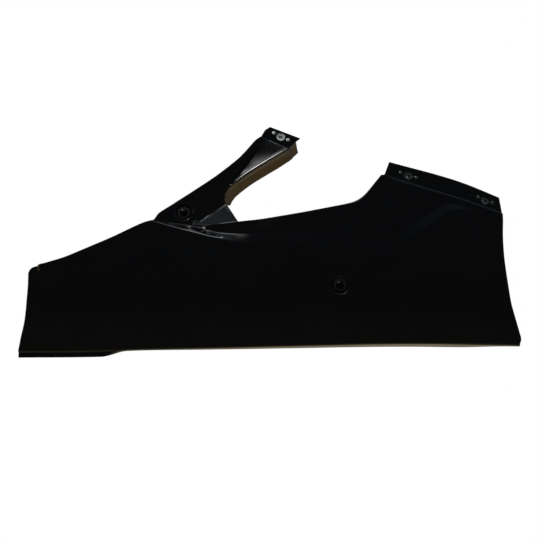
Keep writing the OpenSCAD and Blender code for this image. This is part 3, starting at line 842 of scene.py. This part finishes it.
def receptacle(name):
    """Lozenge plate from the hull of a disc and two lugs, with a drawn cup."""
    bars = [round_bar(name, CUP_D + 2, PLATE_Z, PLATE_BACK)]
    bars += [round_bar(name, 2 * LUG_R, PLATE_Z, PLATE_BACK, 48, place) for place in RIVET_PLACES]
    plate = only(join(bars, name))
    bpy.ops.object.mode_set(mode="EDIT")
    bpy.ops.mesh.select_all(action="SELECT")
    bpy.ops.mesh.convex_hull(join_triangles=True)
    bpy.ops.object.mode_set(mode="OBJECT")
    cup = round_bar("cup", CUP_D, PLATE_Z + 0.2, PLATE_Z + CUP_H)
    soften(cup, 1.5, 5, 60)
    apply_modifier(plate, "BOOLEAN", operation="UNION", object=cup, solver="EXACT")
    bpy.data.objects.remove(cup)
    drill(plate, round_bar("hollow", CUP_D - 2 * CUP_T, PLATE_BACK, PLATE_Z + CUP_H - CUP_T))
    drill(plate, round_bar("hole", STUD_D, PLATE_Z - 1, PLATE_BACK + 1, 48))
    for place in RIVET_PLACES:
        drill(plate, round_bar("hole", RIVET_HOLE, PLATE_Z - 1, PLATE_BACK + 1, 32, place))
    bpy.ops.mesh.primitive_cube_add(size=1, location=(0, 0, (PLATE_Z + PLATE_T / 2) * MM),
        scale=(SLOT_L * MM, SLOT_W * MM, (PLATE_T + 2) * MM))
    drill(plate, settle())
    wire_hole = round_bar("hole", WIRE_D + 0.1, -CUP_D / 2 - 1, CUP_D / 2 + 1, 24)
    drill(plate, set_into(wire_hole, CROSSWISE))
    soften(plate, 0.18, 2, 50)
    smooth(plate, 35)
    return plate


def spring(name):
    """A straight spring wire across the cup, with its ends rounded."""
    wire = round_bar(name, WIRE_D, -CUP_D / 2 - 0.8, CUP_D / 2 + 0.8, 32)
    set_into(wire, CROSSWISE)
    soften(wire, 0.5, 3, 60)
    smooth(wire, 35)
    return wire


# %% [markdown]
# ## Rivets
# A blind rivet has a domed head on the outer face and a crimped tail behind
# the plate. Its half outline is drawn as a chain of points and spun once round
# the axis, which is how a turned part is made.

# %% Rivets by spinning an outline
RIVET_HEAD, HEAD_H = 5.8, 1.5
TAIL_D, TAIL_H = 5, 1.1


def spun(name, outline, sides, degrees):
    """Spins an outline of [radius, height] points, in millimetres, round Z, and smooths it."""
    bpy.ops.mesh.primitive_plane_add(size=1)
    obj = bpy.context.active_object
    obj.name = name
    bpy.ops.object.mode_set(mode="EDIT")
    bpy.ops.mesh.select_mode(type="VERT")
    bpy.ops.mesh.select_all(action="SELECT")
    bpy.ops.mesh.merge(type="CENTER")
    bpy.ops.transform.translate(value=(outline[0][0] * MM, 0, outline[0][1] * MM))
    for before, after in zip(outline, outline[1:]):
        step = ((after[0] - before[0]) * MM, 0, (after[1] - before[1]) * MM)
        bpy.ops.mesh.extrude_region_move(TRANSFORM_OT_translate={"value": step})
    bpy.ops.mesh.select_all(action="SELECT")
    bpy.ops.mesh.spin(steps=sides, angle=2 * math.pi, center=(0, 0, 0), axis=(0, 0, 1))
    bpy.ops.mesh.select_all(action="SELECT")
    bpy.ops.mesh.remove_doubles(threshold=1e-6)
    bpy.ops.mesh.normals_make_consistent(inside=False)
    bpy.ops.object.mode_set(mode="OBJECT")
    smooth(obj, degrees)
    return obj


def arc(centre, radius, start, end, n):
    """Points of an arc, in degrees, as [radius, height] pairs."""
    turns = [math.radians(mix(start, end, k / n)) for k in range(n + 1)]
    return [[centre[0] + radius * math.cos(a), centre[1] + radius * math.sin(a)] for a in turns]


def dome(radius, top, height, angles):
    """Points of a domed head from near its middle out to its rim, as [radius, height] pairs."""
    turns = [math.radians(d) for d in angles]
    return [[radius * math.sin(a), top - height * math.cos(a)] for a in turns]


def rivet(name, side):
    grip, r = PLATE_BACK, RIVET_DIAMETER / 2
    back, corner = grip + TAIL_H, 0.5
    outline = [[0, -HEAD_H * 0.55], [0.75, -HEAD_H * 0.55], [0.95, -HEAD_H * 0.9]]
    outline += [p for p in dome(RIVET_HEAD / 2, 0, HEAD_H, range(0, 91, 9)) if p[0] > 1.1]
    outline += [[RIVET_HEAD / 2 - 0.12, 0.0], [r, 0.0], [r, grip], [TAIL_D / 2 - 0.1, grip]]
    outline += arc((TAIL_D / 2 - corner, back - corner), corner, 0, 90, 4)
    outline += [[0.9, back], [0.8, back - 0.5], [0, back - 0.5]]
    obj = spun(name, outline, 40, 40)
    return set_into(obj, Matrix.Translation((side * RIVET_PITCH / 2 * MM, 0, 0)))


# %% [markdown]
# ## Grommet and sleeve
# A rubber grommet grips the floor of each dimple between two flanges, and a
# steel sleeve inside it keeps the screw from crushing the rubber. Both are
# round, so both are spun from an outline with small fillets at their edges.

# %% Grommet and sleeve outlines
SLEEVE_D, SLEEVE_HEAD, SCREW_D = 9, 13, 6.4
SEAT_FLOOR = 3


def grommet(name):
    top = DIMPLE_DEPTH - GROMMET_LIP
    neck, low = DIMPLE_DEPTH, DIMPLE_DEPTH + SEAT_FLOOR
    end = low + GROMMET_LIP
    bore, out, waist = (SLEEVE_D + 0.1) / 2, GROMMET_DIAMETER / 2, (SEAT_BORE - 0.1) / 2
    f = 0.5
    outline = [[bore, top]] + arc((out - f, top + f), f, -90, 0, 5)
    outline += [[out, neck], [waist, neck], [waist, low], [out, low]]
    outline += arc((out - f, end - f), f, 0, 90, 5) + [[bore, end], [bore, top]]
    return spun(name, outline, 72, 35)


def sleeve(name):
    low, under = SEAT_TOP, DIMPLE_DEPTH - GROMMET_LIP
    end = under + 2 * GROMMET_LIP + SEAT_FLOOR
    head, out, bore = SLEEVE_HEAD / 2, SLEEVE_D / 2, SCREW_D / 2
    f = 0.25
    outline = arc((bore + f, low + f), f, 180, 270, 4) + arc((head - f, low + f), f, -90, 0, 4)
    outline += [[head, under], [out, under], [out, end - f], [out - f, end]]
    outline += [[bore + f, end], [bore, end - f], outline[0]]
    return spun(name, outline, 64, 35)


# %% [markdown]
# ## Screws
# In the photograph each dimple holds a dark low-headed screw, whose socket and
# rim catch small glints. The head and the threaded shank are spun as one, and
# the hexagon socket is drilled with a six-sided bar.

# %% Screw
SCREW_HEAD, SCREW_HEAD_H, SOCKET = 10.5, 2.2, 4.6
SHANK_R, ROOT_R, SHANK_L, THREAD_FROM, THREAD_STEP = 2.9, 2.5, 16, 8, 1.0


def screw(name):
    seat = SEAT_TOP - 0.02
    top, tip = seat - SCREW_HEAD_H, seat + SHANK_L
    outline = [[0, top]]
    outline += dome(SCREW_HEAD / 2, seat - 0.5, SCREW_HEAD_H - 0.5, range(24, 91, 11))
    outline += [[SCREW_HEAD / 2, seat - 0.15], [SCREW_HEAD / 2 - 0.15, seat], [SHANK_R, seat]]
    z = seat + THREAD_FROM
    while z < tip - 1.2:
        outline += [[SHANK_R, z], [ROOT_R, z + THREAD_STEP / 2]]
        z += THREAD_STEP
    outline += [[2.6, tip - 0.8], [1.9, tip], [0, tip]]
    obj = spun(name, outline, 48, 30)
    drill(obj, round_bar("socket", SOCKET, top - 1, top + 1.5, 6))
    smooth(obj, 30)
    return obj


# %% Make one of each, and copy it into its places
def copies(master, frames, suffix):
    """Sets a copy of one piece into each frame, each copy with its own mesh."""
    made = {}
    for place, matrix in frames.items():
        obj = master.copy()
        obj.data = master.data.copy()
        obj.name = f"{place}_{suffix}"
        bpy.context.scene.collection.objects.link(obj)
        made[place] = set_into(obj, matrix)
    bpy.data.objects.remove(master)
    return made


receptacles = copies(receptacle("receptacle_master"), STUDS, "pressed_receptacle")
springs = copies(spring("spring_master"), STUDS, "cross_spring_wire")
pair = join([rivet("rivet_a", -1), rivet("rivet_b", 1)], "rivet_master")
rivets = copies(pair, STUDS, "rivet_heads")
grommets = copies(grommet("grommet_master"), SEATS, "rubber_grommet")
sleeves = copies(sleeve("sleeve_master"), SEATS, "steel_sleeve")
screws = copies(screw("screw_master"), SEATS, "black_screw")
for group in (receptacles, springs, rivets, grommets, sleeves, screws):
    report(next(iter(group.values())))

# %% [markdown]
# ## Parts of a recipe
# Each finish is mixed from the same few parts: noise of a real size in the
# piece's own coordinates, a colour between two tones, a range of roughness,
# and bumps.

# %% Parts of a recipe
def empty_tree(owner):
    """The node tree of a material or a world, with no nodes in it."""
    owner.use_nodes = True
    owner.node_tree.nodes.clear()
    return owner.node_tree


def noise(tree, size_mm, detail, roughness=0.5):
    """Noise in the piece's own coordinates, with features of about this size."""
    place = add_node(tree, "ShaderNodeTexCoord").outputs["Object"]
    return add_node(tree, "ShaderNodeTexNoise", inputs={"Vector": place, "Scale": 1000 / size_mm,
        "Detail": detail, "Roughness": roughness}).outputs[0]


def toned(tree, factor, dark, pale):
    """A colour between two, as the factor says."""
    return add_node(tree, "ShaderNodeMix", {"data_type": "RGBA"},
        {"Factor": factor, "A": dark, "B": pale}).outputs["Result"]


def ranged(tree, value, low, high):
    """Spreads the range where most of a noise lies over the values from low to high."""
    return add_node(tree, "ShaderNodeMapRange", inputs={"Value": value, "From Min": 0.3,
        "From Max": 0.7, "To Min": low, "To Max": high}).outputs[0]


def relief(tree, height, strength, depth_mm, under=None):
    """Bumps of a real depth, which may lie on the bumps under them."""
    inputs = {"Height": height, "Strength": strength, "Distance": depth_mm * MM}
    if under:
        inputs["Normal"] = under
    return add_node(tree, "ShaderNodeBump", inputs=inputs).outputs[0]


def finish_material(tree, surface):
    add_node(tree, "ShaderNodeOutputMaterial", inputs={"Surface": surface.outputs[0]})


def coated(tree, colour, roughness, normal, more):
    """Ends a recipe with the surface itself. `more` holds its other settings."""
    finish_material(tree, add_node(tree, "ShaderNodeBsdfPrincipled",
        inputs={"Base Color": colour, "Roughness": roughness, "Normal": normal, **more}))


# %% [markdown]
# ## Gloss lacquer
# The outer face is black gloss lacquer over ABS plastic. To the eye that is
# almost no colour of its own and a clear mirror: IOR 1.5 and a low roughness.
# Sprayed lacquer never levels fully, so a faint orange peel with waves about
# 9 mm long, and finer ones of 2 mm, softens the reflections. Fine wiping
# haze changes the roughness a little from place to place.

# %% Lacquer nodes
lacquer = shell.data.materials[0]
lacquer.name = "black_gloss_lacquer"
tree = empty_tree(lacquer)
haze = noise(tree, 60, 4.0, 0.6)
wave = relief(tree, noise(tree, 9, 1.0, 0.4), 0.02, 0.3)
ripple = relief(tree, noise(tree, 2.2, 1.0, 0.4), 0.02, 0.05, wave)
tone = toned(tree, haze, linear("#070708"), linear("#0b0b0c"))
coated(tree, tone, ranged(tree, haze, 0.07, 0.12), ripple, {"IOR": 1.5})

# %% [markdown]
# ## Bare moulding and painted reflection
# The inner side is the ABS as it left the mould, with a fine spark-eroded grain
# of about 0.8 mm and a dull sheen. Its dark brown is the tone of the strut's
# return wall, which shares this slot, and there it is a painted warm reflection
# and shade. Flow marks and dust give it slow patches of tone, about 45 mm across.

# %% Moulding nodes
bare_and_painted_reflection = shell.data.materials[1]
bare_and_painted_reflection.name = "bare_abs_and_painted_reflection"
tree = empty_tree(bare_and_painted_reflection)
patches = noise(tree, 45, 4.0, 0.6)
# The brown stands as the moulding's tone inside, and as a painted warm reflection and shade on the
# return wall.
tone = toned(tree, patches, linear("#473517"), linear("#5e451f"))
grain = relief(tree, noise(tree, 0.8, 2.0), 0.25, 0.1)
coated(tree, tone, ranged(tree, patches, 0.42, 0.55), grain,
    {"IOR": 1.5, "Specular IOR Level": 0.2})

# %% [markdown]
# ## Metals and rubber
# The receptacles are zinc plated steel: pale grey, dull, with crystals of 1 to
# 2 mm that differ a little in tone. The springs are pale drawn wire, half diffuse,
# so that their colour also paints the small glints in the receptacles' centres,
# and the rivets are dull aluminium. On the rear flange the receptacles and rivets
# get darker grey copies of these finishes, which is painted shade. The sleeves are
# blackened steel, and the screws are black oxide steel, which is smoother. The
# grommets are black nitrile rubber, duller than the lacquer. All share one
# recipe: a speckle of a real size changes the colour and the roughness between
# two values.

# %% Speckled finishes
def speckled(name, dark, pale, speck_mm, rough_low, rough_high, metallic, bump_mm):
    material = bpy.data.materials.new(name)
    tree = empty_tree(material)
    speck = noise(tree, speck_mm, 3.0, 0.55)
    coated(tree, toned(tree, speck, linear(dark), linear(pale)),
        ranged(tree, speck, rough_low, rough_high), relief(tree, speck, 0.3, bump_mm),
        {"Metallic": metallic})
    return material


zinc = speckled("zinc_plated_steel", "#b4bfbb", "#dde3e1", 1.5, 0.42, 0.6, 0.2, 0.03)
# The spring wire is steel; its pale, half diffuse colour is partly a painted glint inside the cups.
wire = speckled("spring_wire_painted_glint", "#c9cccc", "#e6e8e8", 0.6, 0.22, 0.35, 0.3, 0.01)
aluminium = speckled("dull_rivet_aluminium", "#b2b8b6", "#d2d6d5", 0.8, 0.4, 0.55, 0.3, 0.02)
# Darker grey copies for the rear flange: painted shade, not another finish.
zinc_in_painted_shade = speckled("zinc_steel_painted_shade", "#5a605e", "#8a908e", 1.5, 0.2, 0.3, 0.8, 0.02)
aluminium_in_painted_shade = speckled("rivet_aluminium_painted_shade", "#4c504f", "#686c6b", 0.8, 0.4, 0.55, 0.7,
    0.02)
oxide = speckled("black_oxide_steel", "#1c1d1e", "#303234", 0.6, 0.12, 0.2, 1.0, 0.01)
blackened = speckled("blackened_sleeve_steel", "#1a1b1c", "#2c2e30", 0.5, 0.3, 0.42, 1.0, 0.01)
rubber = speckled("nitrile_rubber", "#0b0b0b", "#141414", 0.7, 0.55, 0.75, 0.0, 0.05)

# %% [markdown]
# ## Hand the pieces to the frame
# ## Attach the pieces to the body
# the record. The screws have no CAD node, because they belong to the bike.

# %% Dress the pieces and attach them to the body
RECORD_SLOTS = [
    (receptacles, zinc, "receptacle", "{}_receptacle"),
    (springs, wire, "spring_wire", "{}_spring"),
    (rivets, aluminium, "rivet", "{}_rivets"),
    (grommets, rubber, "grommet", "{}_grommet"),
    (sleeves, blackened, "sleeve", "{}_sleeve"),
]
# On the rear flange the receptacles and rivets look darker, so they get darker
# copies of their finishes: painted shade
PAINTED_SHADE_COPIES = {zinc.name: zinc_in_painted_shade, aluminium.name: aluminium_in_painted_shade}
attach(shell, "root")
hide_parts("panel")
for group, material, slot_name, node_name in RECORD_SLOTS:
    for place_name, obj in group.items():
        on_flange = place_name in ("front", "rear")
        obj.data.materials.clear()
        obj.data.materials.append(PAINTED_SHADE_COPIES.get(material.name, material) if on_flange else material)
        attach(obj, "root")
        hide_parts(node_name.format(place_name))
for obj in screws.values():
    obj.data.materials.clear()
    obj.data.materials.append(oxide)
    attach(obj, "root")

# %% [markdown]
# ## Camera
# The photograph looks square at the outer face from a little below, so the
# rolled lip shows. The lens and distance are matched to the width of the
# object in the picture.

# %% Camera
ELEVATION = math.radians(-12)
TARGET = Vector((-0.106, 0, 0.0227))
DISTANCE = 1.5
FOCAL_PX = 990.1
PICTURE_PX = 540
SENSOR = 36
back = Vector((0, -math.cos(ELEVATION), math.sin(ELEVATION)))
camera_data = bpy.data.cameras.new("camera")
camera_data.sensor_width = SENSOR
camera_data.lens = SENSOR * FOCAL_PX / PICTURE_PX
camera = bpy.data.objects.new("camera", camera_data)
bpy.context.scene.collection.objects.link(camera)
camera.location = TARGET + back * DISTANCE
camera.rotation_euler = (-back).to_track_quat("-Z", "Y").to_euler()
bpy.context.scene.camera = camera

# %% [markdown]
# ## Floor
# A plain floor lies below the part. The camera sees it as the white of the
# photograph. The lower face and the lip mirror it, so it is a warm grey in
# front of the part, and paler and yellower behind it.

# %% Floor
WHITE = (1, 1, 1, 1)
FLOOR_SIZE, FLOOR_HEIGHT = 12, -0.43
bpy.ops.mesh.primitive_plane_add(size=FLOOR_SIZE, location=(0, 0, FLOOR_HEIGHT))
floor = settle()
floor.name = "studio_floor"
floor_material = bpy.data.materials.new("pale_floor")
tree = empty_tree(floor_material)
ray = add_node(tree, "ShaderNodeLightPath")
place = add_node(tree, "ShaderNodeTexCoord").outputs["Object"]
depth_axis = add_node(tree, "ShaderNodeSeparateXYZ", inputs={"Vector": place})
inboard = add_node(tree, "ShaderNodeMapRange", {"interpolation_type": "SMOOTHSTEP"},
    {"Value": depth_axis.outputs["Y"], "From Min": -0.35, "From Max": 0.35})
tone = toned(tree, inboard.outputs[0], linear("#4c4944"), linear("#bdb08c"))
grey = add_node(tree, "ShaderNodeBsdfDiffuse", inputs={"Color": tone})
white = add_node(tree, "ShaderNodeEmission", inputs={"Color": WHITE, "Strength": 1.0})
shown = add_node(tree, "ShaderNodeMixShader",
    inputs={0: ray.outputs["Is Camera Ray"], 1: grey.outputs[0], 2: white.outputs[0]})
finish_material(tree, shown)
floor.data.materials.append(floor_material)

# %% [markdown]
# ## World
# The part is lit like a catalogue picture of something black: soft grey light
# all round, a dark room in front of it so that the face stays black, and a
# paler ceiling that shows only in the slopes that face up. Three soft lamps
# make the brightest streaks and spots. The room and the lamps are seen only in
# mirrored rays, and the camera sees plain white.

# %% World
world = bpy.data.worlds.new("studio")
bpy.context.scene.world = world
tree = empty_tree(world)


def calculate(kind, operation, *values):
    """One step of arithmetic on sockets and numbers. Kind is Math or VectorMath."""
    return add_node(tree, f"ShaderNode{kind}", {"operation": operation}, dict(enumerate(values)))


direction = add_node(tree, "ShaderNodeTexCoord").outputs["Generated"]
axes = add_node(tree, "ShaderNodeSeparateXYZ", inputs={"Vector": direction})
toward = calculate("Math", "MULTIPLY", axes.outputs["Y"], -1.0)
turn = calculate("Math", "ARCTAN2", axes.outputs["Z"], toward.outputs[0])
round_turn = add_node(tree, "ShaderNodeMapRange", inputs={"Value": turn.outputs[0],
    "From Min": -math.pi, "From Max": math.pi, "To Min": 0.0, "To Max": 1.0})
# Degrees up from the horizon in front, over the top and down behind, with the brightness there
ROOM = [(-180, 0.12), (-100, 0.2), (-20, 0.08), (0, 0.03), (36, 0.03), (48, 0.07), (56, 0.22),
    (64, 0.28), (76, 0.28), (92, 0.2), (115, 0.2), (150, 0.15), (168, 0.12), (180, 0.12)]
ROOM_TINT = (0.82, 1.0, 1.14)
room = add_node(tree, "ShaderNodeValToRGB", inputs={"Fac": round_turn.outputs[0]})
band = room.color_ramp
while len(band.elements) < len(ROOM):
    band.elements.new(0.5)
for element, (degrees, level) in zip(band.elements, ROOM):
    element.position = (degrees + 180) / 360
    element.color = (*(level * part for part in ROOM_TINT), 1)


def lamp(centre, reach, level):
    """A soft-edged lamp in the room: its direction, its half widths and its brightness."""
    away = calculate("VectorMath", "SUBTRACT", direction, centre)
    scaled = calculate("VectorMath", "DIVIDE", away.outputs[0], reach)
    radius = calculate("VectorMath", "LENGTH", scaled.outputs[0])
    return add_node(tree, "ShaderNodeMapRange", {"interpolation_type": "SMOOTHSTEP"},
        {"Value": radius.outputs["Value"], "From Min": 0.3, "From Max": 1.0,
            "To Min": level, "To Max": 0.0}).outputs[0]


# Where each lamp stands, seen from the part: left or right, in front or behind, and up
LAMPS = [
    ((0.12, -0.14, 0.98), (0.16, 0.15, 0.3), 4.5),
    ((-0.27, -0.68, 0.69), (0.27, 0.17, 0.13), 4.4),
    ((-0.44, -0.05, 0.89), (0.2, 0.2, 0.3), 22.0),
]
mirrored = room.outputs["Color"]
for centre, reach, level in LAMPS:
    glow = lamp(centre, reach, level)
    mirrored = calculate("VectorMath", "ADD", mirrored, glow).outputs[0]
ray = add_node(tree, "ShaderNodeLightPath")
glossy = calculate("Math", "MAXIMUM", ray.outputs["Is Glossy Ray"],
    ray.outputs["Is Transmission Ray"])
soft = toned(tree, glossy.outputs[0], (0.7, 0.7, 0.7, 1), mirrored)
shown = toned(tree, ray.outputs["Is Camera Ray"], soft, WHITE)
sky = add_node(tree, "ShaderNodeBackground", inputs={"Color": shown, "Strength": 1.0})
add_node(tree, "ShaderNodeOutputWorld", inputs={"Surface": sky.outputs[0]})

# %% [markdown]
# ## Key light
# A wide soft light high in front lifts the metal and the bare moulding. Glossy
# rays don't see it, so the lacquer doesn't mirror its shape.

# %% Key light
KEY_WIDTH, KEY_HEIGHT, KEY_WATTS = 0.9, 0.6, 6
KEY_PLACE, KEY_TARGET = Vector((-0.30, -1.2, 1.5)), Vector((-0.15, 0, 0.1))
key_data = bpy.data.lights.new("key", "AREA")
key_data.shape = "RECTANGLE"
key_data.size = KEY_WIDTH
key_data.size_y = KEY_HEIGHT
key_data.energy = KEY_WATTS
key = bpy.data.objects.new("key", key_data)
bpy.context.scene.collection.objects.link(key)
key.visible_glossy = False
key.location = KEY_PLACE
key.rotation_euler = (KEY_PLACE - KEY_TARGET).to_track_quat("Z", "Y").to_euler()

bpy.context.scene.view_settings.view_transform = "Standard"

# %% Update the view layer
bpy.context.view_layer.update()
